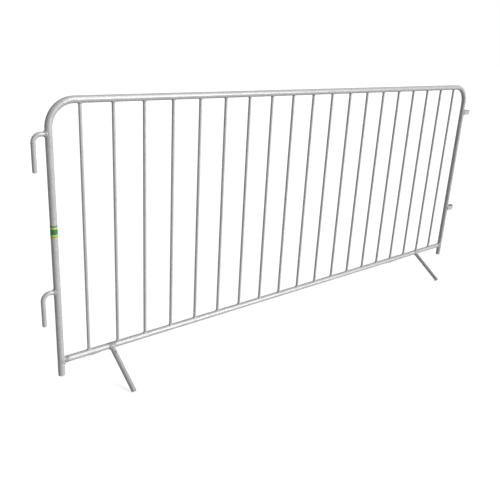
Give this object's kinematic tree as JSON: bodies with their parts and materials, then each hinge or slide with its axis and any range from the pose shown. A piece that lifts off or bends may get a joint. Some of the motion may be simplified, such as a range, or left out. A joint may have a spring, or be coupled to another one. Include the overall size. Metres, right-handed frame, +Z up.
{
  "type": "pedestrian barrier panel",
  "caption": "Welded galvanised steel crowd barrier panel: bent tube frame, upright infill bars, fixed slanted legs, hooks at one end and strap loops at the other for linking panels.",
  "frame": {"origin": "on the ground, under the middle of the whole panel with its hooks, loops and legs", "axes": "+X along the panel from the hooks to the loops, +Y to the rear, +Z up"},
  "size_m": [2.603, 0.365, 1.092],
  "materials": {
    "galvanised_tube": "hot-dip galvanised, weathered, fine mottled spangle",
    "galvanised_bar": "hot-dip galvanised, weathered, fine mottled spangle",
    "galvanised_fitting": "hot-dip galvanised, rubbed bright where panels link",
    "galvanised_weld": "hot-dip galvanised weld bead, uneven",
    "green_film": "adhesive plastic film, semi-gloss",
    "yellow_film": "adhesive plastic film, semi-gloss"
  },
  "bodies": {
    "root": {"frame_tube": "galvanised_tube", "bottom_rail": "galvanised_tube", "infill_bar_01": "galvanised_bar", "infill_bar_02": "galvanised_bar", "infill_bar_03": "galvanised_bar", "infill_bar_04": "galvanised_bar", "infill_bar_05": "galvanised_bar", "infill_bar_06": "galvanised_bar", "infill_bar_07": "galvanised_bar", "infill_bar_08": "galvanised_bar", "infill_bar_09": "galvanised_bar", "infill_bar_10": "galvanised_bar", "infill_bar_11": "galvanised_bar", "infill_bar_12": "galvanised_bar", "infill_bar_13": "galvanised_bar", "infill_bar_14": "galvanised_bar", "infill_bar_15": "galvanised_bar", "infill_bar_16": "galvanised_bar", "infill_bar_17": "galvanised_bar", "infill_bar_18": "galvanised_bar", "infill_bar_19": "galvanised_bar", "upper_hook": "galvanised_fitting", "lower_hook": "galvanised_fitting", "upper_loop": "galvanised_fitting", "lower_loop": "galvanised_fitting", "front_left_leg": "galvanised_tube", "front_right_leg": "galvanised_tube", "rear_left_leg": "galvanised_tube", "rear_right_leg": "galvanised_tube", "marker_band": "green_film", "marker_stripes": "yellow_film", "bar_top_welds": "galvanised_weld", "bar_bottom_welds": "galvanised_weld", "rail_end_welds": "galvanised_weld", "hook_welds": "galvanised_weld", "loop_welds": "galvanised_weld", "leg_welds": "galvanised_weld"}
  },
  "joints": []
}
